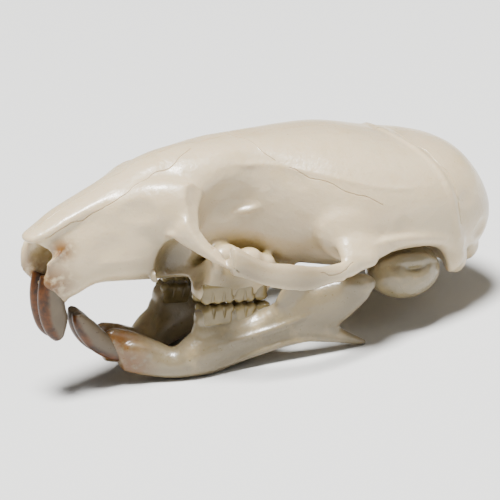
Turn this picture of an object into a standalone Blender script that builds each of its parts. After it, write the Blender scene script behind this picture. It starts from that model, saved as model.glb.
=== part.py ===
"""Skull of an adult house mouse, life size, with its lower jaw in place.

Every size below is in millimetres in the skull's own frame: X runs back from the tip of the nasal bones,
Y to the animal's right and Z up, with Z = 0 on the palate. The shapes are modelled at one unit to the
millimetre, then turned as the skull rests on a table and brought to metres, with +Z up.
"""

import math

import bmesh
import bpy
import numpy as np
from mathutils import Matrix, Vector

MM = 0.001

# Space between bones that meet, and what is left out on each side of a seam across the cheek arch
JOINT_GAP = 0.3
SUTURE = 0.2
# How far the skull tips back at rest, and how much of the jaw is worn flat where it stands
REST_PITCH = math.radians(10.5)
FLAT_DEPTH = 0.08

# Fineness of the solids: size of the skin's faces, passes of smoothing and triangles of a node
VOXEL = 0.10
BONE_SOFTENING = 14
TOOTH_SOFTENING = 2
TRIANGLES = {
    "cranium": 7600,
    "tympanic_bulla": 500,
    "mandible": 2300,
}

# The cranium's core, from the snout to the occiput: distance back, half width, roof, floor,
# height of the widest line, and how square the section is above and below that line
CORE_STATIONS = (
    (0.62, 0.70, 2.25, 0.05, 1.00, 2.2, 2.2),
    (1.20, 0.95, 2.75, -0.30, 0.95, 2.2, 2.3),
    (1.80, 1.16, 3.15, -0.62, 1.00, 2.2, 2.4),
    (2.30, 1.32, 3.42, -0.55, 1.10, 2.2, 2.5),
    (2.80, 1.46, 3.70, -0.20, 1.20, 2.2, 2.5),
    (3.40, 1.62, 4.02, 0.02, 1.30, 2.2, 2.5),
    (4.20, 1.85, 4.45, 0.06, 1.40, 2.2, 2.5),
    (5.00, 2.08, 4.92, 0.05, 1.50, 2.2, 2.5),
    (5.60, 2.22, 5.22, 0.05, 1.70, 2.3, 2.5),
    (6.30, 2.20, 5.48, 0.06, 2.20, 2.4, 2.4),
    (7.00, 2.12, 5.68, 0.10, 3.20, 2.6, 2.2),
    (8.00, 2.05, 5.88, 0.18, 4.20, 2.6, 2.0),
    (9.00, 1.95, 6.05, 0.30, 4.60, 2.7, 1.9),
    (10.00, 1.98, 6.15, 0.40, 4.60, 2.7, 1.9),
    (11.00, 2.45, 6.20, 0.40, 4.30, 2.6, 1.9),
    (12.00, 3.25, 6.24, 0.30, 3.70, 2.4, 2.0),
    (13.00, 3.95, 6.29, 0.20, 3.30, 2.3, 2.1),
    (14.00, 4.42, 6.31, 0.10, 3.00, 2.3, 2.2),
    (15.00, 4.70, 6.28, 0.05, 2.90, 2.3, 2.3),
    (16.00, 4.80, 6.14, 0.00, 2.90, 2.3, 2.4),
    (17.00, 4.78, 5.96, 0.00, 2.90, 2.3, 2.4),
    (18.00, 4.62, 5.82, 0.00, 2.90, 2.3, 2.4),
    (19.00, 4.38, 5.72, 0.00, 2.90, 2.3, 2.4),
    (20.00, 4.02, 5.52, 0.00, 2.80, 2.2, 2.3),
    (20.80, 3.60, 5.16, 0.02, 2.70, 2.1, 2.2),
    (21.50, 3.00, 4.50, 0.12, 2.50, 2.0, 2.1),
    (22.00, 2.30, 3.75, 0.50, 2.30, 2.0, 2.0),
    (22.30, 1.40, 3.05, 1.10, 2.10, 2.0, 2.0),
)

# Rods below: distance back, distance from the middle, height, half thickness, half height.
# Nasal bones: a low vault on the snout that overhangs its opening
NASALS = (
    (0.14, 0, 2.14, 0.66, 0.22),
    (0.90, 0, 2.50, 0.90, 0.30),
    (1.80, 0, 3.02, 1.04, 0.36),
    (3.70, 0, 3.93, 1.15, 0.40),
    (5.60, 0, 4.94, 1.10, 0.40),
    (7.00, 0, 5.44, 0.95, 0.34),
    (8.20, 0, 5.66, 0.75, 0.28),
)
# Front wall of the right premaxilla, whole where the left one is broken back
NOSE_WALL = ((0.86, 0.82, 1.12), (0.68, 0.26, 1.02))
# Upper incisor: an arc out of the premaxilla, down and back
UPPER_INCISOR = (
    (2.30, 0.45, 1.10, 0.37, 0.50),
    (1.58, 0.45, 0.60, 0.37, 0.54),
    (1.20, 0.45, -0.10, 0.37, 0.57),
    (1.26, 0.45, -0.95, 0.37, 0.56),
    (1.50, 0.45, -1.65, 0.36, 0.50),
    (1.82, 0.45, -2.25, 0.33, 0.34),
)
UPPER_SOCKET_POINT = (1.22, 0, -0.32)
UPPER_SOCKET_NORMAL = (-0.61, 0, -0.79)
SOCKET_COLLAR = 0.13
# Lower incisor: from the jaw's tip up behind the upper ones
LOWER_INCISOR = (
    (4.60, 0.52, -3.15, 0.34, 0.46),
    (3.75, 0.50, -2.80, 0.34, 0.46),
    (3.16, 0.50, -2.28, 0.34, 0.43),
    (2.77, 0.50, -1.72, 0.32, 0.36),
    (2.60, 0.50, -1.24, 0.30, 0.22),
)

# Cheek arch from its root in the maxilla to its root in the squamosal
CHEEK_ARCH = (
    (6.20, 3.05, 2.85, 0.36, 0.68),
    (7.30, 3.95, 2.22, 0.32, 0.72),
    (8.20, 4.65, 1.60, 0.29, 0.56),
    (9.20, 5.15, 1.18, 0.28, 0.54),
    (10.20, 5.45, 1.02, 0.28, 0.60),
    (11.20, 5.55, 0.90, 0.28, 0.56),
    (12.20, 5.45, 0.95, 0.28, 0.44),
    (13.40, 5.20, 1.10, 0.32, 0.46),
    (14.30, 4.80, 1.50, 0.38, 0.55),
)
ARCH_FRONT_CUT = 7.90
ARCH_REAR_CUT = 12.90

# Swelling in front of the orbit, then the roots of the cheek arch and the ridges and knobs behind
PREORBITAL = (
    (2.60, 0.45, 2.70, 0.55, 0.80),
    (4.40, 0.95, 3.10, 0.80, 1.30),
    (5.70, 1.62, 3.38, 0.98, 1.48),
    (6.75, 2.30, 3.40, 0.85, 1.42),
)
SQUAMOSAL_SWELL = ((14.40, 3.62, 2.45), (2.00, 1.12, 1.60))
ZYGOMATIC_PLATE = (
    (7.60, 3.75, 2.10, 0.30, 0.60),
    (7.65, 3.05, 1.55, 0.32, 0.65),
    (7.80, 2.45, 0.95, 0.36, 0.60),
    (7.90, 2.05, 0.45, 0.36, 0.50),
)
SQUAMOSAL_ROOT = (
    (14.20, 3.60, 2.50, 0.75, 1.35),
    (14.05, 4.50, 1.98, 0.55, 1.15),
    (13.85, 5.10, 1.42, 0.42, 0.95),
)
EAR_RIDGE = (
    (13.60, 5.00, 1.45, 0.35, 0.40),
    (14.80, 4.80, 1.60, 0.34, 0.40),
    (16.10, 4.62, 1.98, 0.32, 0.36),
    (17.40, 4.50, 1.98, 0.32, 0.34),
    (18.60, 4.15, 1.72, 0.34, 0.36),
    (19.40, 3.85, 1.30, 0.36, 0.40),
)
NUCHAL_CREST = (
    (17.50, 0.00, 5.76, 0.28, 0.20),
    (17.80, 1.30, 5.50, 0.28, 0.20),
    (18.25, 2.60, 4.85, 0.28, 0.22),
    (18.80, 3.60, 3.60, 0.28, 0.22),
    (19.30, 3.95, 2.40, 0.30, 0.25),
    (19.60, 3.80, 1.40, 0.35, 0.30),
)
PALATE = (
    (3.20, 0, 0.35, 1.10, 0.36),
    (6.50, 0, 0.42, 1.60, 0.40),
    (10.80, 0, 0.44, 1.55, 0.40),
    (11.60, 0, 0.46, 1.20, 0.34),
)
MAXILLA_EDGE = (
    (7.30, 2.00, 0.45, 0.50, 0.60),
    (8.40, 2.05, 0.35, 0.62, 0.72),
    (9.60, 2.05, 0.20, 0.62, 0.70),
    (10.70, 1.95, 0.05, 0.50, 0.60),
    (11.70, 1.70, 0.15, 0.35, 0.45),
)
PTERYGOID = (
    (10.90, 1.15, 0.05, 0.28, 0.60),
    (12.30, 1.12, -0.30, 0.26, 0.60),
    (13.80, 1.30, -0.45, 0.22, 0.30),
)
TOOTH_ROOTS = (
    ((8.85, 1.90, 1.12), (0.80, 0.62, 0.62)),
    ((10.05, 1.90, 0.92), (0.66, 0.56, 0.58)),
    ((10.90, 1.82, 0.66), (0.50, 0.48, 0.48)),
)
MASTOID = ((19.30, 3.55, 0.78), (0.75, 0.62, 0.85))
PAROCCIPITAL = ((19.90, 3.05, 0.48), (0.60, 0.52, 0.75))
NECK_CONDYLE = ((21.30, 1.35, 0.50), (0.80, 0.55, 0.75))
BULLA = ((17.10, 3.25, 0.20), (1.85, 1.50, 1.27), (0, 0, -14))
EAR_HOLE = ((17.10, 4.80, 0.72), (0.70, 0.62, 0.36))

# Openings and hollows, cut after the union
NOSE_HOLE = ((0.70, 0, 1.02), (1.75, 0.68, 0.88))
NOSE_NOTCH = ((0.45, -0.95, 1.62), (0.85, 0.55, 0.36))
ORBIT = ((9.00, 3.35, 3.40), (2.10, 1.80, 1.95))
CHEEK_FOSSA = ((6.60, 2.40, 0.95), (1.32, 1.08, 1.48))
NECK_HOLE = ((22.60, 0, 1.22), (2.60, 1.30, 1.00))
PALATE_SLIT = (
    (3.90, 0.42, -0.12, 0.20, 0.35),
    (5.40, 0.45, -0.08, 0.24, 0.40),
    (6.90, 0.42, -0.05, 0.20, 0.35),
)
THROAT = ((12.40, 0, -0.05), (1.60, 0.78, 0.75))

# Cheek teeth, front to back: middle, length, width, rows of cusps
UPPER_MOLARS = ((8.30, 1.62, 1.10, 3), (9.62, 1.05, 1.05, 2), (10.50, 0.68, 0.80, 1))
LOWER_MOLARS = ((8.42, 1.52, 0.95, 3), (9.72, 1.08, 0.95, 2), (10.62, 0.72, 0.75, 1))
UPPER_TOOTH_LINE = 1.98
LOWER_TOOTH_LINE = 1.95
UPPER_CUSP_LEVEL = -0.80
LOWER_CUSP_LEVEL = -1.02
BITE_SLOPE = -0.03
CROWN_HEIGHT = 0.85
CUSP_RADIUS = 0.27
# How far the crown's block stands back from its cusps, and its rounded ends from the tooth's length
CROWN_SETBACK = 0.12
CROWN_END = 0.20
CROWN_SQUARENESS = 3.0
# Degrees at which the rings of a rod's rounded end stand
DOME_ANGLES = (15, 40, 65)

# One half of the lower jaw
JAW_BODY = (
    (3.95, 0.52, -2.70, 0.37, 0.72),
    (4.70, 0.62, -3.12, 0.46, 0.95),
    (5.80, 0.98, -3.50, 0.58, 0.88),
    (6.90, 1.45, -3.72, 0.78, 0.70),
    (7.90, 1.86, -3.26, 0.90, 1.05),
    (9.40, 2.12, -2.80, 0.76, 1.00),
    (10.60, 2.50, -2.30, 0.62, 0.88),
    (11.70, 3.05, -1.68, 0.50, 1.08),
    (12.90, 3.62, -1.12, 0.43, 1.10),
    (13.80, 4.05, -0.56, 0.38, 0.92),
    (14.50, 4.35, -0.18, 0.36, 0.58),
)
JAW_CONDYLE = ((14.35, 4.42, 0.08), (0.78, 0.42, 0.50), (0, 0, 10))
CORONOID = (
    (11.60, 3.05, -1.00, 0.34, 0.85),
    (12.00, 3.30, 0.20, 0.28, 0.62),
    (12.60, 3.55, 0.62, 0.22, 0.30),
)
ANGULAR = (
    (11.80, 3.15, -2.10, 0.42, 0.62),
    (13.00, 3.62, -2.20, 0.34, 0.55),
    (14.00, 3.85, -2.50, 0.26, 0.34),
    (15.05, 4.00, -2.82, 0.18, 0.15),
)
MOLAR_SHELF = (
    (7.90, 1.95, -2.20, 0.55, 0.55),
    (9.30, 2.02, -2.10, 0.55, 0.55),
    (10.90, 2.20, -1.90, 0.48, 0.50),
)
# The right half has slipped outwards: degrees of roll about the line from chin to condyle, and of swing
CHIN = (3.50, 0.50, -2.50)
RIGHT_JAW_ROLL = 12
RIGHT_JAW_SWING = 3


def spline(knots, per_span):
    """Catmull-Rom curve through rows of numbers, every column alike."""
    rows = np.array(knots, float)
    padded = np.vstack([2 * rows[0] - rows[1], rows, 2 * rows[-1] - rows[-2]])
    made = []
    for a, b, c, d in zip(padded, padded[1:], padded[2:], padded[3:]):
        for t in np.arange(per_span) / per_span:
            made.append(0.5 * (2 * b + (c - a) * t + (2 * a - 5 * b + 4 * c - d) * t**2
                               + (3 * b - a - 3 * c + d) * t**3))
    return np.array(made + [rows[-1]])


def new_object(name, mesh):
    obj = bpy.data.objects.new(name, mesh)
    bpy.context.scene.collection.objects.link(obj)
    return obj


def loft(name, rings):
    """Closed mesh through rings of equal count, with a fan at each end."""
    bm = bmesh.new()
    loops = [[bm.verts.new(p) for p in ring] for ring in rings]
    for near, far in zip(loops, loops[1:]):
        for i in range(len(near)):
            j = (i + 1) % len(near)
            bm.faces.new((near[i], near[j], far[j], far[i]))
    for loop in (loops[0], loops[-1]):
        tip = bm.verts.new(sum((v.co for v in loop), Vector()) / len(loop))
        for i in range(len(loop)):
            bm.faces.new((loop[i - 1], loop[i], tip))
    bmesh.ops.recalc_face_normals(bm, faces=bm.faces)
    mesh = bpy.data.meshes.new(name)
    bm.to_mesh(mesh)
    bm.free()
    return new_object(name, mesh)


def power(value, exponent):
    return math.copysign(abs(value) ** exponent, value)


def core(name, stations, per_span=3, sides=48):
    """Loft along X of sections that are superellipses above and below their widest line."""
    rings = []
    for x, half, roof, floor, widest, above, below in spline(stations, per_span):
        ring = []
        for k in range(sides):
            angle = 2 * math.pi * k / sides
            rising = math.sin(angle) > 0
            shape = above if rising else below
            reach = roof - widest if rising else widest - floor
            ring.append(Vector((
                x,
                half * power(math.cos(angle), 2 / shape),
                widest + reach * power(math.sin(angle), 2 / shape),
            )))
        rings.append(ring)
    return loft(name, rings)


def sweep(name, knots, up=(0, 0, 1), shape=2.0, per_span=4, sides=20):
    """Rod through knots of x, y, z, half thickness and half height, with rounded ends.
    The height lies along up, as far as the rod's direction lets it."""
    rows = spline(knots, per_span)
    points = [Vector(row[:3]) for row in rows]
    frames = []
    for i, point in enumerate(points):
        ahead = (points[min(i + 1, len(points) - 1)] - points[max(i - 1, 0)]).normalized()
        side = ahead.cross(Vector(up)).normalized()
        frames.append((point, ahead, side, side.cross(ahead).normalized(), rows[i][3], rows[i][4]))
    dome = [math.radians(a) for a in DOME_ANGLES]
    ends = []
    for (point, ahead, side, tall, thick, high), sign in ((frames[0], -1), (frames[-1], 1)):
        reach = min(thick, high)
        ends.append([(point + ahead * sign * reach * math.sin(a), ahead, side, tall,
                      thick * math.cos(a), high * math.cos(a)) for a in dome])
    rings = []
    for point, _, side, tall, thick, high in ends[0][::-1] + frames + ends[1]:
        ring = []
        for k in range(sides):
            angle = 2 * math.pi * k / sides
            ring.append(point + side * thick * power(math.cos(angle), 2 / shape)
                        + tall * high * power(math.sin(angle), 2 / shape))
        rings.append(ring)
    return loft(name, rings)


def ball(name, centre, radii, turn=(0, 0, 0)):
    """Ellipsoid, turned by degrees about X, Y and Z."""
    bm = bmesh.new()
    bmesh.ops.create_uvsphere(bm, u_segments=32, v_segments=16, radius=1)
    spin = Matrix.Identity(4)
    for axis, degrees in zip("XYZ", turn):
        spin = Matrix.Rotation(math.radians(degrees), 4, axis) @ spin
    bm.transform(Matrix.Translation(centre) @ spin @ Matrix.Diagonal((*radii, 1)))
    mesh = bpy.data.meshes.new(name)
    bm.to_mesh(mesh)
    bm.free()
    return new_object(name, mesh)


def mirrored(obj):
    """Copy on the other side of the skull's middle plane."""
    mesh = obj.data.copy()
    mesh.transform(Matrix.Diagonal((1, -1, 1, 1)))
    mesh.flip_normals()
    return new_object(obj.name + "_other", mesh)


def both(*objects):
    return list(objects) + [mirrored(o) for o in objects]


def thicker(knots, by):
    return [(x, y, z, thick + by, high + by) for x, y, z, thick, high in knots]


def grown(ellipsoid, by):
    centre, radii, *turn = ellipsoid
    return (centre, tuple(r + by for r in radii), *turn)


def molar_row(name, teeth, line, cusp_level, roots):
    """Cheek teeth as crowns with cusps in pairs; roots is +1 where they grow upwards."""
    made = []
    for number, (middle, length, width, rows) in enumerate(teeth):
        bite = cusp_level + BITE_SLOPE * (middle - teeth[0][0])
        crown_middle = bite + roots * (CROWN_HEIGHT / 2 + CROWN_SETBACK)
        reach = length / 2 - CROWN_END
        block = [(x, line, crown_middle, width / 2, CROWN_HEIGHT / 2)
                 for x in (middle - reach, middle, middle + reach)]
        made.append(sweep(f"{name}_{number}", block, shape=CROWN_SQUARENESS, per_span=2, sides=16))
        for row in range(rows):
            x = middle + (row - (rows - 1) / 2) * length / rows
            for side in (-1, 1):
                centre = (x, line + side * (width / 2 - CUSP_RADIUS), bite + roots * CUSP_RADIUS)
                made.append(ball(f"{name}_{number}_{row}_{side}", centre, (CUSP_RADIUS,) * 3))
    return made


def apply_modifiers(obj):
    graph = bpy.context.evaluated_depsgraph_get()
    mesh = bpy.data.meshes.new_from_object(obj.evaluated_get(graph))
    obj.modifiers.clear()
    obj.data = mesh


def boolean(obj, pieces, operation):
    """One Boolean with a collection of closed meshes, which are then removed."""
    group = bpy.data.collections.new(obj.name + "_" + operation.lower())
    for piece in pieces:
        group.objects.link(piece)
    step = obj.modifiers.new(operation, "BOOLEAN")
    step.operand_type = "COLLECTION"
    step.collection = group
    step.operation = operation
    step.solver = "MANIFOLD"
    apply_modifiers(obj)
    for piece in pieces:
        bpy.data.objects.remove(piece)
    bpy.data.collections.remove(group)


def keep_largest(obj):
    """Drops scraps and sealed hollows, so that one closed surface is left."""
    bm = bmesh.new()
    bm.from_mesh(obj.data)
    unseen = set(bm.faces)
    shells = []
    while unseen:
        shell, front = set(), [unseen.pop()]
        while front:
            face = front.pop()
            shell.add(face)
            for edge in face.edges:
                for other in edge.link_faces:
                    if other in unseen:
                        unseen.remove(other)
                        front.append(other)
        shells.append(shell)
    largest = max(shells, key=len)
    bmesh.ops.delete(bm, geom=[f for shell in shells if shell is not largest for f in shell],
                     context="FACES")
    bm.to_mesh(obj.data)
    bm.free()


def remodel(obj, passes):
    """One even skin of small faces over the joined pieces, with its seams softened."""
    skin = obj.modifiers.new("skin", "REMESH")
    skin.mode = "VOXEL"
    skin.voxel_size = VOXEL
    soften = obj.modifiers.new("soften", "SMOOTH")
    soften.factor = 0.5
    soften.iterations = passes
    apply_modifiers(obj)


def as_one_bone(name, pieces, cutters=(), teeth=()):
    """Joins the pieces, cuts the hollows, softens the seams, sets the teeth and thins the mesh."""
    bone = pieces[0]
    bone.name = name
    if pieces[1:]:
        boolean(bone, pieces[1:], "UNION")
    if cutters:
        boolean(bone, cutters, "DIFFERENCE")
    remodel(bone, BONE_SOFTENING)
    if teeth:
        keep_largest(bone)
        boolean(bone, teeth, "UNION")
        remodel(bone, TOOTH_SOFTENING)
    keep_largest(bone)
    thin = bone.modifiers.new("thin", "DECIMATE")
    thin.ratio = TRIANGLES[name] / (2 * len(bone.data.polygons))
    apply_modifiers(bone)
    keep_largest(bone)
    return bone


def cut_flat(obj, point, normal):
    """Removes what lies beyond a plane and closes the cut with a flat face."""
    bm = bmesh.new()
    bm.from_mesh(obj.data)
    geometry = bm.verts[:] + bm.edges[:] + bm.faces[:]
    bmesh.ops.bisect_plane(bm, geom=geometry, plane_co=point, plane_no=normal, clear_outer=True)
    bmesh.ops.holes_fill(bm, edges=[e for e in bm.edges if e.is_boundary])
    bmesh.ops.triangulate(bm, faces=bm.faces)
    bm.to_mesh(obj.data)
    bm.free()


def arch_stretch(name, lowest, highest):
    """The cheek arch between two distances back, cut flat there."""
    piece = sweep(name, CHEEK_ARCH, per_span=3, sides=16)
    if lowest is not None:
        cut_flat(piece, (lowest, 0, 0), (-1, 0, 0))
    if highest is not None:
        cut_flat(piece, (highest, 0, 0), (1, 0, 0))
    return piece


def right_jaw_pose():
    """How far the right half of the jaw has slipped from the left half's mirror image."""
    chin = Vector(CHIN)
    roll = Matrix.Rotation(math.radians(RIGHT_JAW_ROLL), 4, Vector(JAW_CONDYLE[0]) - chin)
    swing = Matrix.Rotation(math.radians(RIGHT_JAW_SWING), 4, "Z")
    return Matrix.Translation(chin) @ swing @ roll @ Matrix.Translation(-chin)


def make_cranium():
    socket = sweep("socket", thicker(UPPER_INCISOR[:4], SOCKET_COLLAR))
    cut_flat(socket, UPPER_SOCKET_POINT, UPPER_SOCKET_NORMAL)
    middle = [core("cranium", CORE_STATIONS), sweep("nasals", NASALS), sweep("palate", PALATE),
              ball("nose_wall", *NOSE_WALL)]
    sides = both(
        socket,
        sweep("preorbital", PREORBITAL),
        ball("squamosal_swell", *SQUAMOSAL_SWELL),
        sweep("plate", ZYGOMATIC_PLATE, up=(1, 0, 0)),
        arch_stretch("cheek_front", None, ARCH_FRONT_CUT),
        arch_stretch("cheek_rear", ARCH_REAR_CUT, None),
        sweep("squamosal", SQUAMOSAL_ROOT, up=(1, 0, 0)),
        sweep("ear_ridge", EAR_RIDGE),
        sweep("crest", NUCHAL_CREST, up=(1, 0, 0)),
        sweep("maxilla", MAXILLA_EDGE),
        sweep("pterygoid", PTERYGOID),
        ball("mastoid", *MASTOID),
        ball("paroccipital", *PAROCCIPITAL),
        ball("neck_condyle", *NECK_CONDYLE),
        *[ball(f"root_{i}", *root) for i, root in enumerate(TOOTH_ROOTS)],
    )
    teeth = both(
        sweep("incisor", UPPER_INCISOR),
        *molar_row("upper_molar", UPPER_MOLARS, UPPER_TOOTH_LINE, UPPER_CUSP_LEVEL, 1),
    )
    jaw_hollow = ball("jaw_hollow", *grown(JAW_CONDYLE, JOINT_GAP))
    left_hollow = mirrored(jaw_hollow)
    jaw_hollow.data.transform(right_jaw_pose())
    cutters = [ball("nose", *NOSE_HOLE), ball("nose_notch", *NOSE_NOTCH), ball("neck", *NECK_HOLE),
               ball("throat", *THROAT), jaw_hollow, left_hollow]
    cutters += both(
        ball("orbit", *ORBIT),
        ball("fossa", *CHEEK_FOSSA),
        ball("bulla_seat", *grown(BULLA, JOINT_GAP)),
        sweep("palate_slit", PALATE_SLIT),
    )
    return as_one_bone("cranium", middle + sides, cutters, teeth)


def make_zygomatic_arch():
    return arch_stretch("zygomatic_arch", ARCH_FRONT_CUT + SUTURE, ARCH_REAR_CUT - SUTURE)


def make_tympanic_bulla():
    return as_one_bone("tympanic_bulla", [ball("bulla", *BULLA)], [ball("ear", *EAR_HOLE)])


def make_mandible():
    pieces = [
        sweep("body", JAW_BODY),
        ball("condyle", *JAW_CONDYLE),
        sweep("coronoid", CORONOID, up=(1, 0, 0)),
        sweep("angular", ANGULAR),
        sweep("shelf", MOLAR_SHELF),
    ]
    teeth = [
        sweep("incisor", LOWER_INCISOR),
        *molar_row("lower_molar", LOWER_MOLARS, LOWER_TOOTH_LINE, LOWER_CUSP_LEVEL, -1),
    ]
    return as_one_bone("mandible", pieces, teeth=teeth)


def transform_all(objects, matrix):
    for obj in objects:
        obj.data.transform(matrix)


def bounds(objects):
    corners = np.vstack([np.array([v.co for v in o.data.vertices]) for o in objects])
    return corners.min(axis=0), corners.max(axis=0)


def bone_material(name, colour, roughness):
    material = bpy.data.materials.new(name)
    material.use_nodes = True
    shader = material.node_tree.nodes["Principled BSDF"]
    shader.inputs["Base Color"].default_value = (*colour, 1)
    shader.inputs["Roughness"].default_value = roughness
    shader.inputs["Metallic"].default_value = 0
    return material


def main():
    for obj in list(bpy.data.objects):
        bpy.data.objects.remove(obj)
    bone = bone_material("cleaned bone", (0.76, 0.70, 0.59), 0.45)
    objects = [make_cranium()]
    for make in (make_zygomatic_arch, make_tympanic_bulla, make_mandible):
        right = make()
        left = mirrored(right)
        name = right.name
        if make is make_mandible:
            right.data.transform(right_jaw_pose())
        right.name = name + "_right"
        left.name = name + "_left"
        objects += [right, left]
    skull = bpy.data.collections.new("mouse_skull")
    bpy.context.scene.collection.children.link(skull)
    for obj in objects:
        for group in obj.users_collection:
            group.objects.unlink(obj)
        skull.objects.link(obj)
        obj.data.name = obj.name
        obj.data.materials.clear()
        obj.data.materials.append(bone)
        obj.data.shade_smooth()
    transform_all(objects, Matrix.Rotation(REST_PITCH, 4, "Y"))
    low, high = bounds(objects)
    for obj in objects:
        if obj.name.startswith("mandible"):
            cut_flat(obj, (0, 0, low[2] + FLAT_DEPTH), (0, 0, -1))
    shift = Vector((-(low[0] + high[0]) / 2, -(low[1] + high[1]) / 2, -(low[2] + FLAT_DEPTH)))
    transform_all(objects, Matrix.Scale(MM, 4) @ Matrix.Translation(shift))


main()
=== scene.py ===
"""Looks of a mouse skull: cleaned, slightly glossy bone, stained gnawing teeth and worn cheek teeth.

Forms are worked in millimetres and brought to the part's frame in metres when they are done. Places on
the skull are given in its own frame: x back from the tip of the nose, y to the animal's right and z up
from the palate. The part's frame has the skull tipped back as it rests on a table.
"""

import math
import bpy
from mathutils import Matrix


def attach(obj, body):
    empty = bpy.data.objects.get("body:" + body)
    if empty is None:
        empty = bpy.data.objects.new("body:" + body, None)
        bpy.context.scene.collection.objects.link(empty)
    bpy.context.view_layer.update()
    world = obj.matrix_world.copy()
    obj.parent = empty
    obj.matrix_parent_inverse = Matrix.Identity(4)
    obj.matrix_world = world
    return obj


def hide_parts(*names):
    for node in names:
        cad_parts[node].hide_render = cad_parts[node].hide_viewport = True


bl_info = {
    "name": "Mouse Skull",
    "version": (1, 0, 0),
    "blender": (4, 5, 0),
    "location": "View3D > Sidebar > Mouse Skull",
    "description": "Models the bones and teeth of a mouse skull on its solid parts",
    "category": "Object",
}

import bmesh
import bpy
from mathutils import Matrix, Vector
from mathutils.bvhtree import BVHTree

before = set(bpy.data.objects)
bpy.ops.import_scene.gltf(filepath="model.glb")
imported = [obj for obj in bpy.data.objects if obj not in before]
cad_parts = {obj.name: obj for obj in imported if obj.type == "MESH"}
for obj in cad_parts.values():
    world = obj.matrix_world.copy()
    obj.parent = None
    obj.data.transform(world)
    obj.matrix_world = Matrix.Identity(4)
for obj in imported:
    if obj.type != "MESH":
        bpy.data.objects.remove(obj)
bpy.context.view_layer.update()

MM = 0.001
REST_PITCH = math.radians(10.5)
SKULL_ORIGIN = Vector((-11.4123, 0.0, 5.5688))
SIDES = (("left", -1), ("right", 1))

# Where the skull's own frame lies in the part's frame, in millimetres
SKULL_PLACE = Matrix.Translation(SKULL_ORIGIN) @ Matrix.Rotation(REST_PITCH, 4, "Y")

# The right half of the jaw has slipped outwards: rolled about the line from chin to condyle, then swung
CHIN = Vector((3.50, 0.50, -2.50))
CONDYLE = Vector((14.35, 4.42, 0.08))
RIGHT_JAW_ROLL = math.radians(12)
RIGHT_JAW_SWING = math.radians(3)
RIGHT_JAW = (Matrix.Translation(CHIN) @ Matrix.Rotation(RIGHT_JAW_SWING, 4, "Z")
             @ Matrix.Rotation(RIGHT_JAW_ROLL, 4, CONDYLE - CHIN) @ Matrix.Translation(-CHIN))
JAW_POSES = {-1: Matrix.Identity(4), 1: RIGHT_JAW}


class MouseSkullSettings(bpy.types.PropertyGroup):
    """Sizes and finish of the bones, and the lights' power."""

    grain: bpy.props.FloatProperty(
        name="Surface grain", description="Size of the smallest face on the bones, in millimetres",
        default=0.094, min=0.05, max=0.3)
    suture_width: bpy.props.FloatProperty(
        name="Suture width", description="Width of the seams between bones, in millimetres",
        default=0.07, min=0.02, max=0.3)
    enamel: bpy.props.FloatProperty(
        name="Enamel thickness", description="Thickness of enamel over the front teeth, in millimetres",
        default=0.03, min=0.0, max=0.1)
    bone_gloss: bpy.props.FloatProperty(
        name="Bone roughness", description="Roughness of the cleaned bone",
        default=0.34, min=0.0, max=1.0, subtype="FACTOR")
    key_power: bpy.props.FloatProperty(
        name="Key light", description="Power of the large soft light above the snout",
        default=8.0, min=0.0, subtype="POWER")
    fill_power: bpy.props.FloatProperty(
        name="Fill light", description="Power of the weak light from the front",
        default=0.20, min=0.0, subtype="POWER")


def colour(hex_value):
    """sRGB hex to the linear RGBA that a shader wants."""
    channels = [int(hex_value[i:i + 2], 16) / 255 for i in (1, 3, 5)]
    linear = [c / 12.92 if c <= 0.04045 else ((c + 0.055) / 1.055) ** 2.4 for c in channels]
    return (*linear, 1.0)


def node(tree, kind, inputs=None, **settings):
    """Adds a node with its settings, values and links."""
    made = tree.nodes.new(kind)
    for name, value in settings.items():
        setattr(made, name, value)
    for socket, value in (inputs or {}).items():
        if isinstance(value, bpy.types.NodeSocket):
            tree.links.new(value, made.inputs[socket])
        else:
            made.inputs[socket].default_value = value
    return made


def mixed(tree, factor, first, second):
    made = node(tree, "ShaderNodeMix", {0: factor, 6: first, 7: second}, data_type="RGBA")
    return made.outputs[2]


def scaled(tree, value, low, high, to_low=0.0, to_high=1.0):
    made = node(tree, "ShaderNodeMapRange", {
        "Value": value, "From Min": low, "From Max": high, "To Min": to_low, "To Max": to_high},
        interpolation_type="SMOOTHSTEP")
    return made.outputs["Result"]


def grain(tree, coords, size_mm, detail=3.0, roughness=0.5):
    """Cloudy pattern whose patches are about size_mm across."""
    made = node(tree, "ShaderNodeTexNoise", {
        "Vector": coords, "Scale": 1.0 / (size_mm * MM), "Detail": detail, "Roughness": roughness})
    return made.outputs["Fac"]


def product(tree, first, second):
    return node(tree, "ShaderNodeMath", {0: first, 1: second}, operation="MULTIPLY").outputs[0]


def hollowness(tree):
    """How shut in a point is, as shade_hollows stored it."""
    return node(tree, "ShaderNodeAttribute", attribute_name="hollow").outputs["Fac"]


def bumped(tree, height, strength, depth_mm, under=None):
    """Normal of a fine relief, on top of another relief's normal where there is one."""
    inputs = {"Height": height, "Strength": strength, "Distance": depth_mm * MM}
    if under:
        inputs["Normal"] = under
    return node(tree, "ShaderNodeBump", inputs).outputs["Normal"]


def set_shader(shader, **values):
    """Sets a shader's inputs, named with underscores for spaces."""
    for name, value in values.items():
        shader.inputs[name.replace("_", " ")].default_value = value


def skull_coordinates(tree):
    """Object coordinates turned back into the skull's own frame, in metres."""
    coords = node(tree, "ShaderNodeTexCoord").outputs["Object"]
    back = SKULL_PLACE.inverted()
    placed = node(tree, "ShaderNodeMapping", {
        "Vector": coords, "Rotation": (0.0, -REST_PITCH, 0.0),
        "Location": tuple(v * MM for v in back.translation)}, vector_type="POINT")
    return placed.outputs["Vector"]


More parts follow.
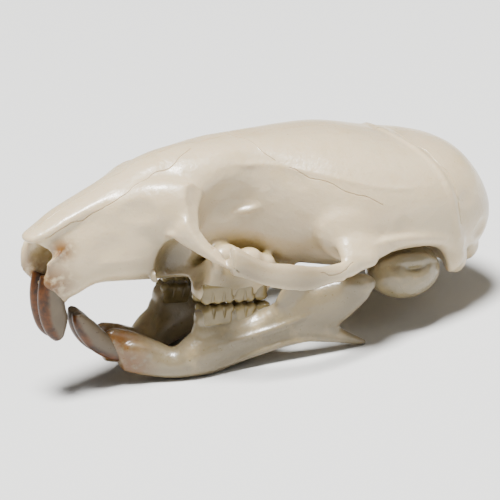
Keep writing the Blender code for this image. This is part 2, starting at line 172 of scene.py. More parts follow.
def near(tree, coords, centre, reach):
    """1 at a place on the skull, given in millimetres, falling to 0 at reach from it."""
    away = node(tree, "ShaderNodeVectorMath", {0: coords, 1: tuple(v * MM for v in centre)},
                operation="DISTANCE").outputs["Value"]
    return scaled(tree, away, 0.0, reach * MM, 1.0, 0.0)


def both_sides_near(tree, coords, centre, reach):
    """The same on both sides of the skull, for a place given on its right."""
    parts = node(tree, "ShaderNodeSeparateXYZ", {0: coords}).outputs
    out = node(tree, "ShaderNodeMath", {0: parts["Y"]}, operation="ABSOLUTE").outputs[0]
    folded = node(tree, "ShaderNodeCombineXYZ", {"X": parts["X"], "Y": out, "Z": parts["Z"]})
    return near(tree, folded.outputs["Vector"], centre, reach)


def new_material(name):
    material = bpy.data.materials.new(name)
    material.use_nodes = True
    tree = material.node_tree
    return material, tree, tree.nodes["Principled BSDF"]


# Rust-brown stains that the front teeth leave round their sockets: a place and how far it spreads
STAINS = (
    ((0.95, 0.80, 0.15), 1.70),
    ((1.40, 0.95, 1.75), 0.90),
    ((4.30, 0.80, -2.60), 1.80),
    ((4.90, 0.90, -3.60), 1.60),
)


# Places with a colour each: olive painted shade under the front root of the cheek arch and above the
# upper cheek teeth, where these lie in shade, and grey along the arch
SHADE_AND_GREY_PLACES = (
    ((6.30, 1.60, 0.90), 2.40, "#46391a"),
    ((8.90, 2.30, 0.10), 1.90, "#66562c"),
    ((8.60, 5.00, 1.30), 2.00, "#8c7d62"),
    ((11.00, 5.50, 0.80), 2.20, "#8c7d62"),
)


def cleaned_bone(settings, name, pale, warm):
    """Bone boiled clean and lightly bleached: ivory, waxy where thin, with a soft greasy gloss
    that breaks up over fine pores, and painted shade: ochre to brown in its hollows, olive at places in
    shade."""
    material, tree, shader = new_material(name)
    coords = skull_coordinates(tree)
    cloud = grain(tree, coords, 3.0)
    ivory = mixed(tree, cloud, colour(pale), colour(warm))
    blotch = scaled(tree, grain(tree, coords, 1.1, detail=5.0), 0.50, 0.75)
    ivory = mixed(tree, product(tree, blotch, 0.35), ivory, colour("#b9a478"))
    hollow = hollowness(tree)
    # Painted shade: the bone turns ochre, then brown, where the hollow attribute says it is shut in.
    shaded = mixed(tree, scaled(tree, hollow, 0.26, 0.80), ivory, colour("#ab9661"))
    deep = mixed(tree, scaled(tree, hollow, 0.84, 1.00), shaded, colour("#8a774a"))
    # Painted shade: olive at places that lie in shade; grey along the arch.
    for centre, reach, dull in SHADE_AND_GREY_PLACES:
        deep = mixed(tree, both_sides_near(tree, coords, centre, reach), deep, colour(dull))
    speckle = grain(tree, coords, 0.35, detail=4.0)
    stain = 0.0
    for centre, reach in STAINS:
        spot = both_sides_near(tree, coords, centre, reach)
        stain = node(tree, "ShaderNodeMath", {0: stain, 1: spot}, operation="MAXIMUM").outputs[0]
    stain = product(tree, stain, scaled(tree, speckle, 0.22, 0.56))
    stained = mixed(tree, stain, deep, colour("#6a4208"))
    tree.links.new(stained, shader.inputs["Base Color"])
    pores = grain(tree, coords, 0.16, detail=4.0, roughness=0.6)
    rough = scaled(tree, pores, 0.25, 0.75, settings.bone_gloss - 0.08, settings.bone_gloss + 0.10)
    tree.links.new(rough, shader.inputs["Roughness"])
    dents = bumped(tree, grain(tree, coords, 0.45, detail=5.0, roughness=0.6), 0.7, 0.06)
    tree.links.new(bumped(tree, pores, 0.5, 0.015, under=dents), shader.inputs["Normal"])
    set_shader(shader, IOR=1.54, Coat_Weight=0.35, Coat_Roughness=0.14, Subsurface_Weight=0.22,
               Subsurface_Radius=(1.0, 0.62, 0.32), Subsurface_Scale=0.6 * MM)
    return material


def gnawing_tooth(name, arc_centre, arc_radius):
    """A rodent's front tooth: orange-brown enamel on the face that curves outwards, with darker
    speckles, and bare lilac-grey dentine behind it."""
    material, tree, shader = new_material(name)
    coords = skull_coordinates(tree)
    flat = node(tree, "ShaderNodeVectorMath", {0: coords, 1: (1.0, 0.0, 1.0)}, operation="MULTIPLY")
    centre = (arc_centre[0] * MM, 0.0, arc_centre[1] * MM)
    away = node(tree, "ShaderNodeVectorMath", {0: flat.outputs["Vector"], 1: centre},
                operation="DISTANCE").outputs["Value"]
    ragged = product(tree, grain(tree, coords, 0.5, detail=3.0), 0.25 * MM)
    edge = node(tree, "ShaderNodeMath", {0: away, 1: ragged}, operation="ADD").outputs[0]
    face = scaled(tree, edge, (arc_radius + 0.26) * MM, (arc_radius + 0.50) * MM)
    blotch = grain(tree, coords, 0.45, detail=5.0, roughness=0.6)
    enamel = mixed(tree, scaled(tree, blotch, 0.30, 0.70), colour("#5c3000"), colour("#261200"))
    hollow = hollowness(tree)
    dentine = mixed(tree, grain(tree, coords, 0.7), colour("#675a48"), colour("#4c4235"))
    # Painted shade: the dentine turns browner where the hollow attribute says it is shut in.
    dentine = mixed(tree, scaled(tree, hollow, 0.45, 0.9), dentine, colour("#5d4a38"))
    painted = mixed(tree, face, dentine, enamel)
    specks = scaled(tree, grain(tree, coords, 0.16, detail=2.0), 0.66, 0.74)
    painted = mixed(tree, product(tree, specks, 0.7), painted, colour("#3a2012"))
    tree.links.new(painted, shader.inputs["Base Color"])
    dents = bumped(tree, grain(tree, coords, 0.3), 0.2, 0.03)
    tree.links.new(dents, shader.inputs["Normal"])
    set_shader(shader, Roughness=0.38, IOR=1.45, Subsurface_Weight=0.08,
               Subsurface_Radius=(1.0, 0.6, 0.4), Subsurface_Scale=0.3 * MM)
    return material


def cheek_tooth():
    """Worn cheek teeth: yellowed enamel darkened as painted shade; the folds between cusps brown to near
    black, partly lodged food and partly painted shade.
    """
    material, tree, shader = new_material("cheek tooth enamel")
    coords = skull_coordinates(tree)
    # Yellowed enamel, coloured darker as painted shade for teeth that sit in shade under the skull.
    enamel_and_shade = mixed(tree, grain(tree, coords, 0.6), colour("#8a7a52"), colour("#62532d"))
    hollow = hollowness(tree)
    # Brown where the hollow attribute is high, partly food lodged in the folds and partly painted shade;
    # near black in the deepest folds, painted shade.
    packing_and_shade = mixed(tree, scaled(tree, hollow, 0.35, 0.65), enamel_and_shade, colour("#5f4c22"))
    packing_and_shade = mixed(tree, scaled(tree, hollow, 0.62, 0.85), packing_and_shade, colour("#23180a"))
    tree.links.new(packing_and_shade, shader.inputs["Base Color"])
    tree.links.new(bumped(tree, grain(tree, coords, 0.25), 0.2, 0.02), shader.inputs["Normal"])
    set_shader(shader, Roughness=0.26, IOR=1.62, Subsurface_Weight=0.12,
               Subsurface_Radius=(1.0, 0.7, 0.4), Subsurface_Scale=0.3 * MM)
    return material


def choose(obj):
    """Makes obj the only selected object and the active one."""
    bpy.ops.object.select_all(action="DESELECT")
    obj.select_set(True)
    bpy.context.view_layer.objects.active = obj


def with_modifier(obj, kind, **settings):
    choose(obj)
    step = obj.modifiers.new(kind.lower(), kind)
    for name, value in settings.items():
        setattr(step, name, value)
    bpy.ops.object.modifier_apply(modifier=step.name)


def casting(node_name, name):
    """Merged copy of a solid part's mesh, in millimetres and in the skull's own frame."""
    obj = bpy.data.objects.new(name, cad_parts[node_name].data.copy())
    bpy.context.scene.collection.objects.link(obj)
    obj.data.materials.clear()
    obj.data.transform(SKULL_PLACE.inverted() @ Matrix.Scale(1 / MM, 4))
    choose(obj)
    bpy.ops.mesh.customdata_custom_splitnormals_clear()
    bpy.ops.object.mode_set(mode="EDIT")
    bpy.ops.mesh.select_all(action="SELECT")
    bpy.ops.mesh.remove_doubles(threshold=0.001)
    bpy.ops.object.mode_set(mode="OBJECT")
    return obj


def bead(name, centre, radii, turn=(0, 0, 0)):
    """Ellipsoid of clay, turned by degrees about X, Y and Z."""
    bpy.ops.mesh.primitive_uv_sphere_add(
        segments=32, ring_count=16, radius=1, location=centre, scale=radii,
        rotation=[math.radians(a) for a in turn])
    obj = bpy.context.object
    obj.name = name
    bpy.ops.object.transform_apply(location=True, rotation=True, scale=True)
    return obj


def cord_of_clay(name, points, radii):
    """Round rod through points, with a radius at each."""
    curve = bpy.data.curves.new(name, "CURVE")
    curve.dimensions = "3D"
    curve.bevel_depth = 1.0
    curve.bevel_resolution = 3
    curve.use_fill_caps = True
    curve.resolution_u = 4
    line = curve.splines.new("BEZIER")
    line.bezier_points.add(len(points) - 1)
    for knot, point, radius in zip(line.bezier_points, points, radii):
        knot.co = point
        knot.radius = radius
        knot.handle_left_type = "AUTO"
        knot.handle_right_type = "AUTO"
    obj = bpy.data.objects.new(name, curve)
    bpy.context.scene.collection.objects.link(obj)
    choose(obj)
    bpy.ops.object.convert(target="MESH")
    bpy.ops.object.mode_set(mode="EDIT")
    bpy.ops.mesh.select_all(action="SELECT")
    bpy.ops.mesh.remove_doubles(threshold=0.0005)
    bpy.ops.mesh.normals_make_consistent(inside=False)
    bpy.ops.object.mode_set(mode="OBJECT")
    return obj


def fuse(obj, others, size, passes):
    """Works the pieces into one skin, as wet clay, and softens it."""
    bpy.ops.object.select_all(action="DESELECT")
    for other in others:
        other.select_set(True)
    obj.select_set(True)
    bpy.context.view_layer.objects.active = obj
    if others:
        bpy.ops.object.join()
    with_modifier(obj, "REMESH", mode="VOXEL", voxel_size=size)
    if passes:
        with_modifier(obj, "SMOOTH", factor=0.5, iterations=passes)


def carve(obj, cutters):
    """Cuts closed forms out of a bone and removes them."""
    tools = bpy.data.collections.new(obj.name + "_tools")
    for cutter in cutters:
        tools.objects.link(cutter)
    with_modifier(obj, "BOOLEAN", operand_type="COLLECTION", collection=tools,
                  operation="DIFFERENCE", solver="MANIFOLD")
    for cutter in cutters:
        bpy.data.objects.remove(cutter)
    bpy.data.collections.remove(tools)


def dish(obj, place, width, depth):
    """Large ball that cuts a shallow round hollow where the object comes nearest to a place."""
    spot, normal = obj.closest_point_on_mesh(Vector(place))[1:3]
    radius = (width**2 + depth**2) / (2 * depth)
    bpy.ops.mesh.primitive_uv_sphere_add(
        segments=48, ring_count=24, radius=radius, location=spot + normal * (radius - depth))
    ball = bpy.context.object
    bpy.ops.object.transform_apply(location=True, rotation=True, scale=True)
    return ball


def on_surface(obj, points, samples=14):
    """Points spread along a polyline and laid on the object's surface."""
    laid = []
    for start, end in zip(points, points[1:]):
        for i in range(samples):
            place = Vector(start).lerp(Vector(end), i / samples)
            laid.append(obj.closest_point_on_mesh(place)[1])
    laid.append(obj.closest_point_on_mesh(Vector(points[-1]))[1])
    return laid


def sway(point):
    """Wandering that depends on the place alone, so that every run gives the same seams."""
    x, y, z = point
    return Vector((
        math.sin(3.1 * y + 1.7 * z) + 0.5 * math.sin(7.3 * x + 2.9 * z + 1.0),
        math.sin(2.7 * x + 2.1 * z + 0.6) + 0.5 * math.sin(8.1 * x - 5.3 * z),
        math.sin(2.9 * x - 1.9 * y + 2.0) + 0.5 * math.sin(6.7 * x + 4.7 * y + 0.4),
    ))


def seam(obj, name, points, width, wobble=0.06):
    """Thin wandering groove along a line on a bone, as a cutter."""
    path = []
    for point in on_surface(obj, points):
        path.append(obj.closest_point_on_mesh(point + sway(point) * wobble)[1])
    return cord_of_clay(name, path, [width / 2] * len(path))


def ridge(obj, points, radii, sunk=0.55):
    """Low ridge that follows a bone's surface, with most of its rod sunk in the bone."""
    path = []
    for point, radius in zip(points, radii):
        spot, normal = obj.closest_point_on_mesh(Vector(point))[1:3]
        path.append(spot - normal * radius * sunk)
    return cord_of_clay("ridge", path, radii)


def mirrored(points, side):
    return [(x, y * side, z) for x, y, z in points]


def shade_hollows(obj, reach=3.0, rays=18, lift=0.03, fading=0.6):
    """Stores how shut in each point is, 0 in the open and 1 in a deep hole, as an attribute."""
    store = obj.data.attributes.new("hollow", "FLOAT", "POINT")
    tree = BVHTree.FromObject(obj, bpy.context.evaluated_depsgraph_get())
    # Golden angle, which spreads the rays evenly over the half of the sphere that the point faces
    turn = math.pi * (3 - math.sqrt(5))
    spread = []
    for i in range(rays):
        height = 1 - (i + 0.5) / rays
        ring = math.sqrt(1 - height * height)
        spread.append(Vector((ring * math.cos(i * turn), ring * math.sin(i * turn), height)))
    values = []
    for vertex in obj.data.vertices:
        normal = vertex.normal
        lean = Vector((0, 0, 1)).rotation_difference(normal)
        start = vertex.co + normal * lift
        shut = 0.0
        for ray in spread:
            hit = tree.ray_cast(start, lean @ ray, reach)
            if hit[0] is not None:
                shut += 1 - fading * hit[3] / reach
        values.append(shut / rays)
    store.data.foreach_set("value", values)


# Steepest edge, in radians, that is still shaded smooth
SMOOTH_UP_TO = math.radians(50)


def finish_piece(obj, material, nodes=()):
    """Shades a piece, brings it to the part's frame and ties it to the body."""
    shade_hollows(obj)
    obj.data.transform(Matrix.Scale(MM, 4) @ SKULL_PLACE)
    obj.data.materials.clear()
    obj.data.materials.append(material)
    choose(obj)
    bpy.ops.object.shade_smooth_by_angle(angle=SMOOTH_UP_TO)
    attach(obj, "root")
    if nodes:
        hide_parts(*nodes)


def trim(obj, point, normal):
    """Saws off what lies beyond a plane and closes the cut."""
    choose(obj)
    bpy.ops.object.mode_set(mode="EDIT")
    bpy.ops.mesh.select_all(action="SELECT")
    bpy.ops.mesh.bisect(plane_co=point, plane_no=normal, use_fill=True, clear_outer=True)
    bpy.ops.object.mode_set(mode="OBJECT")


def extend_ends(obj, reach):
    """Draws both ends of a cheek arch out until they run into their roots."""
    low = min(v.co.x for v in obj.data.vertices)
    high = max(v.co.x for v in obj.data.vertices)
    for edge, way in ((low, -1), (high, 1)):
        choose(obj)
        bpy.ops.object.mode_set(mode="EDIT")
        bpy.ops.mesh.select_all(action="DESELECT")
        bm = bmesh.from_edit_mesh(obj.data)
        bm.select_mode = {"VERT"}
        for vertex in bm.verts:
            vertex.select = abs(vertex.co.x - edge) < 0.01
        bm.select_flush(True)
        bmesh.update_edit_mesh(obj.data)
        bpy.ops.transform.translate(value=(way * reach, 0, 0))
        bpy.ops.object.mode_set(mode="OBJECT")


# Forms on each side of the cranium, on the right side's y: centre, radii and turn in degrees
CRANIUM_FORMS = (
    ((10.10, 1.66, 3.20), (0.85, 0.38, 0.16), (0, -14, 12)),
    ((5.48, 1.98, 0.50), (0.28, 0.24, 0.28), (0, 0, 0)),
    ((20.35, 2.55, 1.10), (0.42, 0.36, 0.60), (0, 10, 0)),
)
# Shallow hollows: a place near the surface, how wide and how deep
CRANIUM_DISHES = (
    ((4.80, 1.70, 3.55), 0.85, 0.16),
    ((3.40, 1.60, 1.90), 0.80, 0.10),
    ((20.60, 2.75, 2.00), 0.70, 0.20),
    ((19.55, 3.55, 3.30), 0.70, 0.08),
    ((16.20, 4.70, 2.60), 0.55, 0.08),
    ((11.80, 2.60, 4.60), 0.90, 0.08),
)
CRANIUM_HOLES = (
    ((11.35, 1.60, 2.55), (0.30, 0.60, 0.24), (0, 0, 0)),
    ((12.20, 2.90, 1.20), (0.22, 0.40, 0.14), (0, 0, 0)),
)
CHEEK_RECESS = ((6.60, 2.38, 0.95), (1.28, 1.10, 1.46), (0, 0, 0))
# Ridges: points and a radius at each
CRANIUM_RIDGES = (
    (((5.50, 2.60, 2.45), (6.05, 3.00, 2.60), (6.90, 3.50, 2.55)), (0.10, 0.14, 0.12)),
    (((17.35, 0.00, 5.90), (17.55, 1.30, 5.60), (17.95, 2.50, 4.95), (18.50, 3.60, 3.85),
      (18.95, 4.05, 2.70), (19.35, 4.00, 1.70)), (0.12, 0.20, 0.24, 0.26, 0.26, 0.26)),
    (((9.20, 2.10, 5.30), (10.6, 2.35, 5.30), (12.2, 3.30, 5.10), (14.0, 4.15, 4.70),
      (16.0, 4.45, 4.30), (17.9, 4.05, 4.20)), (0.10, 0.14, 0.16, 0.16, 0.14, 0.10)),
    (((14.6, 4.85, 1.90), (15.8, 4.75, 2.05), (17.2, 4.60, 2.05), (18.6, 4.30, 1.80)),
     (0.14, 0.18, 0.18, 0.14)),
    (((2.90, 1.50, 1.20), (3.80, 1.85, 1.25), (4.75, 2.05, 1.40)), (0.08, 0.11, 0.08)),
)
# On the left the edge of the nose is broken back and a splinter of bone hangs across it
NOSE_SPICULE = (((1.62, -0.95, 1.92), (1.10, -0.98, 1.48), (0.62, -0.86, 1.00)), (0.075, 0.06, 0.04))
NOSE_WALL = ((0.86, 0.84, 1.12), (0.66, 0.20, 1.00))
UPPER_SOCKET_EDGE = ((1.22, 0, -0.32), (-0.61, 0, -0.79))
SUTURES = (
    ((17.70, 0.00, 5.8), (17.95, 1.50, 5.4), (18.40, 2.70, 4.6), (18.92, 3.60, 3.4), (19.30, 4.00, 2.4)),
    ((9.80, 0.00, 6.3), (10.3, 1.20, 6.1), (10.9, 2.20, 5.4)),
    ((11.30, 2.80, 5.20), (12.6, 3.80, 4.72), (14.0, 4.40, 4.15), (15.2, 4.70, 3.80)),
    ((0.60, 0.85, 2.30), (2.00, 1.15, 3.00), (4.20, 1.30, 4.10), (6.40, 1.15, 5.20), (7.60, 0.60, 5.80)),
    ((7.55, 3.90, 2.55), (7.80, 4.35, 2.05), (8.15, 4.75, 1.35)),
    ((11.6, 5.70, 1.10), (12.6, 5.60, 1.05), (13.4, 5.40, 1.30)),
)
# Share of the cranium's faces that is kept once the seams are cut
CRANIUM_THINNING = 0.8
MIDLINE_SUTURE = ((0.20, 0, 2.4), (4.0, 0, 4.6), (8.0, 0, 6.1), (12.0, 0, 6.4), (17.6, 0, 6.0))


def on_side(form, side):
    """A form's centre, radii and turn on one side of the skull."""
    (x, y, z), radii, (about_x, about_y, about_z) = form
    return (x, y * side, z), radii, (about_x * side, about_y, about_z * side)


# How far the cheek arch's ends reach into its roots
ARCH_OVERLAP = 0.26


class MOUSESKULL_OT_cranium(bpy.types.Operator):
    """Model the cranium with its cheek arches"""

    bl_idname = "mouse_skull.cranium"
    bl_label = "Cranium"

    def execute(self, context):
        settings = context.scene.mouse_skull
        bone = casting("cranium", "cranium_bone")
        trim(bone, *UPPER_SOCKET_EDGE)
        dishes = []
        clay = [cord_of_clay("spicule", *NOSE_SPICULE), bead("nose_wall", *NOSE_WALL)]
        for name, side in SIDES:
            arch = casting("zygomatic_arch_" + name, "arch_" + name)
            extend_ends(arch, ARCH_OVERLAP)
            clay.append(arch)
            dishes += [dish(bone, (x, y * side, z), width, depth)
                       for (x, y, z), width, depth in CRANIUM_DISHES]
            clay += [bead("form", *on_side(form, side)) for form in CRANIUM_FORMS]
            clay += [ridge(bone, mirrored(points, side), radii) for points, radii in CRANIUM_RIDGES]
        carve(bone, dishes)
        fuse(bone, clay, settings.grain, 5)
        cutters = [seam(bone, "midline", MIDLINE_SUTURE, settings.suture_width)]
        for name, side in SIDES:
            cutters += [seam(bone, "suture", mirrored(line, side), settings.suture_width)
                        for line in SUTURES]
            cutters += [bead("hole", *on_side(hole, side)) for hole in CRANIUM_HOLES]
            cutters.append(bead("recess", *on_side(CHEEK_RECESS, side)))
        carve(bone, cutters)
        with_modifier(bone, "DECIMATE", ratio=CRANIUM_THINNING)
        finish_piece(bone, cleaned_bone(settings, "cleaned bone", "#cab99a", "#bda987"),
                     ("cranium", "zygomatic_arch_left", "zygomatic_arch_right"))
        return {"FINISHED"}


# Grain of the smaller bones beside the cranium's, and of the teeth in millimetres
EAR_GRAIN = 0.6
JAW_GRAIN = 0.75
TOOTH_GRAIN = 0.045
EAR_KEELS = (
    (((15.30, 3.95, 0.85), (16.35, 4.40, 1.16), (17.40, 4.45, 1.05), (18.45, 3.95, 0.72)),
     (0.22, 0.38, 0.38, 0.24)),
    (((15.55, 3.80, -0.10), (16.9, 4.30, -0.52), (18.25, 4.05, -0.30)), (0.08, 0.12, 0.08)),
    (((17.10, 4.50, 0.60), (17.35, 4.20, -0.50), (17.40, 3.30, -1.00)), (0.08, 0.12, 0.08)),
)


class MOUSESKULL_OT_ear_capsules(bpy.types.Operator):
    """Model the two hollow ear capsules under the braincase"""

    bl_idname = "mouse_skull.ear_capsules"
    bl_label = "Ear capsules"

    def execute(self, context):
        settings = context.scene.mouse_skull
        # Darker than the cranium's bone: partly the thin capsule's own greyer tone, partly painted shade
        # on capsules that sit low under the braincase.
        material = cleaned_bone(settings, "thin ear capsule bone with painted shade", "#877b62", "#6f6346")
        for name, side in SIDES:
            capsule = casting("tympanic_bulla_" + name, f"ear_capsule_{name}")
            clay = [ridge(capsule, mirrored(points, side), radii) for points, radii in EAR_KEELS]
            fuse(capsule, clay, settings.grain * EAR_GRAIN, 6)
            finish_piece(capsule, material, ("tympanic_bulla_" + name,))
        return {"FINISHED"}


LOWER_SOCKET_EDGE = ((4.05, 0, -2.75), (-0.909, 0, -0.417))
JAW_RIDGES = (
    (((7.9, 2.62, -2.75), (9.6, 2.80, -2.42), (11.4, 3.40, -1.75), (13.2, 4.02, -0.85)),
     (0.08, 0.16, 0.16, 0.10)),
    (((8.2, 2.55, -3.80), (10.0, 2.85, -3.20), (11.8, 3.45, -2.60), (13.2, 3.85, -2.45)),
     (0.10, 0.16, 0.14, 0.10)),
)
JAW_FORMS = (((5.30, 1.18, -3.20), (0.90, 0.30, 0.50), (0, 20, 12)),)
JAW_HOLES = (
    ((7.15, 2.25, -3.36), (0.17, 0.22, 0.11), (0, 0, 0)),
    ((5.05, 1.30, -2.55), (0.12, 0.25, 0.08), (0, 0, 0)),
)


class MOUSESKULL_OT_jaw_halves(bpy.types.Operator):
    """Model the two halves of the lower jaw"""

    bl_idname = "mouse_skull.jaw_halves"
    bl_label = "Lower jaw"

    def execute(self, context):
        settings = context.scene.mouse_skull
        # Painted shade: both halves are coloured darker than the cranium's bone; the right, far half is
        # painted paler than the left to lift it out of its shade.
        materials = {
            "left": cleaned_bone(settings, "jaw bone with painted shade", "#82765d", "#6f634a"),
            "right": cleaned_bone(settings, "jaw bone with lighter painted shade", "#998a6c", "#88795a"),
        }
        for name, side in SIDES:
            jaw = casting("mandible_" + name, f"jaw_half_{name}")
            jaw.data.transform(JAW_POSES[side].inverted())
            trim(jaw, *LOWER_SOCKET_EDGE)
            clay = [cord_of_clay("ridge", mirrored(points, side), radii) for points, radii in JAW_RIDGES]
            clay += [bead("form", *on_side(form, side)) for form in JAW_FORMS]
            fuse(jaw, clay, settings.grain * JAW_GRAIN, 5)
            carve(jaw, [bead("nerve_hole", *on_side(hole, side)) for hole in JAW_HOLES])
            jaw.data.transform(JAW_POSES[side])
            finish_piece(jaw, materials[name], ("mandible_" + name,))
        return {"FINISHED"}


# Front teeth: middle and radius of the arc, degrees at the root and the tip, distance from the skull's
# middle, half width and half depth
UPPER_FRONT_TOOTH = ((4.22, -0.40), 3.03, 165, 217, 0.43, 0.39, 0.60)
LOWER_FRONT_TOOTH = ((5.22, -0.50), 2.76, 275, 196, 0.49, 0.38, 0.48)


def front_tooth(name, tooth, side, enamel):
    """One gnawing tooth: a rounded section spun along its arc."""
    (cx, cz), radius, root, tip, away, half_width, half_depth = tooth
    start = math.radians(root)
    place = (cx + radius * math.cos(start), away * side, cz + radius * math.sin(start))
    bpy.ops.mesh.primitive_circle_add(vertices=24, radius=1, fill_type="NGON", location=place)
    obj = bpy.context.object
    obj.name = name
    obj.data.transform(Matrix.Diagonal((half_depth + enamel, half_width + enamel, 1, 1)))
    obj.data.transform(Matrix.Rotation(-start, 4, "Y"))
    bpy.ops.object.transform_apply(location=True, rotation=True, scale=True)
    bpy.ops.object.mode_set(mode="EDIT")
    bpy.ops.mesh.select_all(action="SELECT")
    bpy.ops.mesh.spin(steps=28, dupli=False, angle=math.radians(tip - root), center=(cx, 0, cz),
                      axis=(0, 1, 0))
    bpy.ops.mesh.select_all(action="SELECT")
    bpy.ops.mesh.normals_make_consistent(inside=False)
    bpy.ops.object.mode_set(mode="OBJECT")
    return obj


def wear_tip(obj, tooth, side, share=0.34, thin=0.62):
    """Narrows the last share of a front tooth towards its cutting edge, most of all from behind."""
    (cx, cz), radius, root, tip, away, half_width, half_depth = tooth
    for vertex in obj.data.vertices:
        angle = math.degrees(math.atan2(vertex.co.z - cz, vertex.co.x - cx)) % 360
        along = (angle - root) / (tip - root)
        past = max(0.0, (along - 1 + share) / share)
        out = math.hypot(vertex.co.x - cx, vertex.co.z - cz)
        middle = radius + 0.35 * half_depth * past**2
        kept = middle + (out - radius) * (1 - thin * past**2.4)
        vertex.co.x = cx + (vertex.co.x - cx) * kept / out
        vertex.co.z = cz + (vertex.co.z - cz) * kept / out
        vertex.co.y = away * side + (vertex.co.y - away * side) * (1 - 0.25 * past**2)


class MOUSESKULL_OT_front_teeth(bpy.types.Operator):
    """Model the four gnawing teeth"""

    bl_idname = "mouse_skull.front_teeth"
    bl_label = "Front teeth"

    def execute(self, context):
        settings = context.scene.mouse_skull
        for jaw, tooth in (("upper", UPPER_FRONT_TOOTH), ("lower", LOWER_FRONT_TOOTH)):
            material = gnawing_tooth(f"{jaw} gnawing tooth", tooth[0], tooth[1])
            for name, side in SIDES:
                obj = front_tooth(f"{jaw}_incisor_{name}", tooth, side, settings.enamel)
                wear_tip(obj, tooth, side)
                fuse(obj, [], TOOTH_GRAIN, 6)
                if jaw == "lower":
                    obj.data.transform(JAW_POSES[side])
                finish_piece(obj, material)
        return {"FINISHED"}


# Cheek teeth, front to back: middle, length, width and rows of cusps
UPPER_CHEEK_TEETH = ((8.30, 1.62, 1.18, 3), (9.62, 1.05, 1.14, 2), (10.50, 0.74, 0.90, 1))
LOWER_CHEEK_TEETH = ((8.42, 1.56, 1.02, 3), (9.74, 1.10, 1.02, 2), (10.66, 0.78, 0.84, 1))
UPPER_BITE = -0.89
LOWER_BITE = -0.92
BITE_SLOPE = -0.03
CROWN = 0.95
UPPER_LINE = 1.98
LOWER_LINE = 1.95


def cheek_tooth_crown(middle, length, width, rows, line, bite, roots, side):
    """One worn crown: a rounded block with low paired cusps, as pieces of clay to be fused."""
    bpy.ops.mesh.primitive_cube_add(
        size=1, location=(middle, line * side, bite + roots * (CROWN / 2 + 0.07)),
        scale=(length - 0.07, width, CROWN))
    block = bpy.context.object
    bpy.ops.object.transform_apply(location=True, rotation=True, scale=True)
    with_modifier(block, "BEVEL", width=0.24, segments=4)
    clay = [block]
    for row in range(rows):
        x = middle + (row - (rows - 1) / 2) * length / rows
        for out in (-1, 1):
            cusp = (x + 0.07 * out, (line + out * (width / 2 - 0.26)) * side, bite + roots * 0.24)
            clay.append(bead("cusp", cusp, (length / rows * 0.44, 0.25, 0.24)))
    return clay


def crown_folds(middle, length, width, rows, line, bite, roots, side):
    """Cutters for the folds between the rows of cusps, down both sides of a crown."""
    folds = []
    for row in range(rows - 1):
        x = middle + (row + 1 - rows / 2) * length / rows
        for out in (-1, 1):
            y = (line + out * (width / 2 + 0.02)) * side
            foot = bite + roots * 0.62
            folds.append(cord_of_clay(
                "fold", ((x, y, bite - roots * 0.1), (x, y, (bite + foot) / 2), (x, y, foot)),
                (0.13, 0.10, 0.04)))
    return folds


class MOUSESKULL_OT_cheek_teeth(bpy.types.Operator):
    """Model the rows of cheek teeth"""

    bl_idname = "mouse_skull.cheek_teeth"
    bl_label = "Cheek teeth"

    def execute(self, context):
        material = cheek_tooth()
        for jaw, teeth, line, level, roots in (
            ("upper", UPPER_CHEEK_TEETH, UPPER_LINE, UPPER_BITE, 1),
            ("lower", LOWER_CHEEK_TEETH, LOWER_LINE, LOWER_BITE, -1),
        ):
            for name, side in SIDES:
                clay = []
                folds = []
                for tooth in teeth:
                    bite = level + BITE_SLOPE * (tooth[0] - teeth[0][0])
                    clay += cheek_tooth_crown(*tooth, line, bite, roots, side)
                    folds += crown_folds(*tooth, line, bite, roots, side)
                row = clay[0]
                row.name = f"{jaw}_cheek_teeth_{name}"
                fuse(row, clay[1:], TOOTH_GRAIN, 1)
                carve(row, folds)
                if jaw == "lower":
                    row.data.transform(JAW_POSES[side])
                finish_piece(row, material)
        return {"FINISHED"}


# Camera: the photograph's side view, from a little in front and above, in the skull's own frame
CAMERA_TARGET = (11.05, 0.0, 0.75)
CAMERA_AZIMUTH = math.radians(27)
CAMERA_ELEVATION = math.radians(15)
CAMERA_ROLL = math.radians(2.5)
CAMERA_DISTANCE = 165.0
CAMERA_LENS = 265.0


def aim_camera():
    flat = math.cos(CAMERA_ELEVATION)
    back = Vector((-math.sin(CAMERA_AZIMUTH) * flat, -math.cos(CAMERA_AZIMUTH) * flat,
                   math.sin(CAMERA_ELEVATION)))
    level = Vector((math.cos(CAMERA_AZIMUTH), -math.sin(CAMERA_AZIMUTH), 0))
    above = back.cross(level)
    right = level * math.cos(CAMERA_ROLL) + above * math.sin(CAMERA_ROLL)
    up = above * math.cos(CAMERA_ROLL) - level * math.sin(CAMERA_ROLL)
    pose = Matrix((right, up, back)).transposed().to_4x4()
    pose.translation = Vector(CAMERA_TARGET) + back * CAMERA_DISTANCE
    placed = SKULL_PLACE @ pose
    camera = bpy.data.objects.new("camera", bpy.data.cameras.new("camera"))
    bpy.context.scene.collection.objects.link(camera)
    camera.rotation_mode = "QUATERNION"
    camera.rotation_quaternion = placed.to_quaternion()
    camera.location = placed.translation * MM
    camera.data.lens = CAMERA_LENS
    camera.data.sensor_width = 36.0
    camera.data.clip_start = 0.005
    camera.data.clip_end = 20.0
    bpy.context.scene.camera = camera


def soft_light(name, place, size, power, aim=(0, 0, 0.005)):
    light = bpy.data.lights.new(name, "AREA")
    light.shape = "DISK"
    light.size = size
    light.energy = power
    lamp = bpy.data.objects.new(name, light)
    bpy.context.scene.collection.objects.link(lamp)
    lamp.location = place
    lamp.rotation_euler = (Vector(aim) - Vector(place)).to_track_quat("-Z", "Y").to_euler()


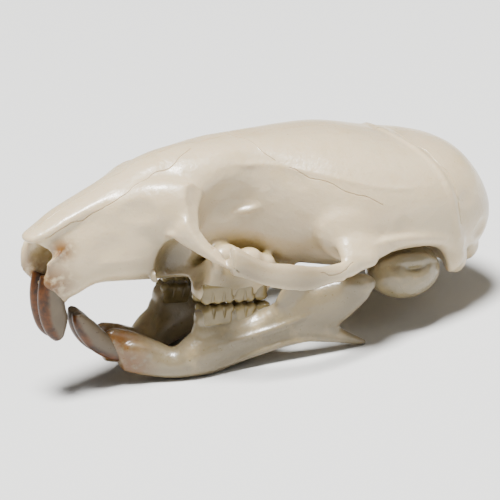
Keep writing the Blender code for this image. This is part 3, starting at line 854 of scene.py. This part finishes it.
class MOUSESKULL_OT_stage(bpy.types.Operator):
    """Set the floor, the lights and the camera"""

    bl_idname = "mouse_skull.stage"
    bl_label = "Stage"

    def execute(self, context):
        settings = context.scene.mouse_skull
        bpy.ops.mesh.primitive_circle_add(vertices=96, radius=2.0, fill_type="NGON")
        floor = context.object
        floor.name = "floor"
        paper, _, shader = new_material("white paper")
        set_shader(shader, Base_Color=colour("#cfcfcd"), Roughness=0.9)
        floor.data.materials.append(paper)
        world = bpy.data.worlds.new("studio")
        world.use_nodes = True
        backdrop = world.node_tree.nodes["Background"]
        backdrop.inputs["Color"].default_value = (1.0, 1.0, 1.0, 1.0)
        backdrop.inputs["Strength"].default_value = 0.13
        context.scene.world = world
        soft_light("key", (-0.06, -0.06, 0.45), 0.16, settings.key_power)
        soft_light("fill", (0.15, -0.30, 0.25), 0.20, settings.fill_power)
        aim_camera()
        return {"FINISHED"}


class MOUSESKULL_PT_panel(bpy.types.Panel):
    """Mouse skull settings and steps"""

    bl_label = "Mouse Skull"
    bl_idname = "MOUSESKULL_PT_panel"
    bl_space_type = "VIEW_3D"
    bl_region_type = "UI"
    bl_category = "Mouse Skull"

    def draw(self, context):
        column = self.layout.column()
        for name in MouseSkullSettings.__annotations__:
            column.prop(context.scene.mouse_skull, name)
        for step in STEPS:
            column.operator(step.bl_idname)


STEPS = (
    MOUSESKULL_OT_cranium,
    MOUSESKULL_OT_ear_capsules,
    MOUSESKULL_OT_jaw_halves,
    MOUSESKULL_OT_front_teeth,
    MOUSESKULL_OT_cheek_teeth,
    MOUSESKULL_OT_stage,
)
CLASSES = (MouseSkullSettings, *STEPS, MOUSESKULL_PT_panel)


def register():
    for item in CLASSES:
        bpy.utils.register_class(item)
    bpy.types.Scene.mouse_skull = bpy.props.PointerProperty(type=MouseSkullSettings)


def unregister():
    del bpy.types.Scene.mouse_skull
    for item in reversed(CLASSES):
        bpy.utils.unregister_class(item)


def main():
    register()
    bpy.ops.mouse_skull.cranium()
    bpy.ops.mouse_skull.ear_capsules()
    bpy.ops.mouse_skull.jaw_halves()
    bpy.ops.mouse_skull.front_teeth()
    bpy.ops.mouse_skull.cheek_teeth()
    bpy.ops.mouse_skull.stage()


if __name__ == "__main__":
    main()
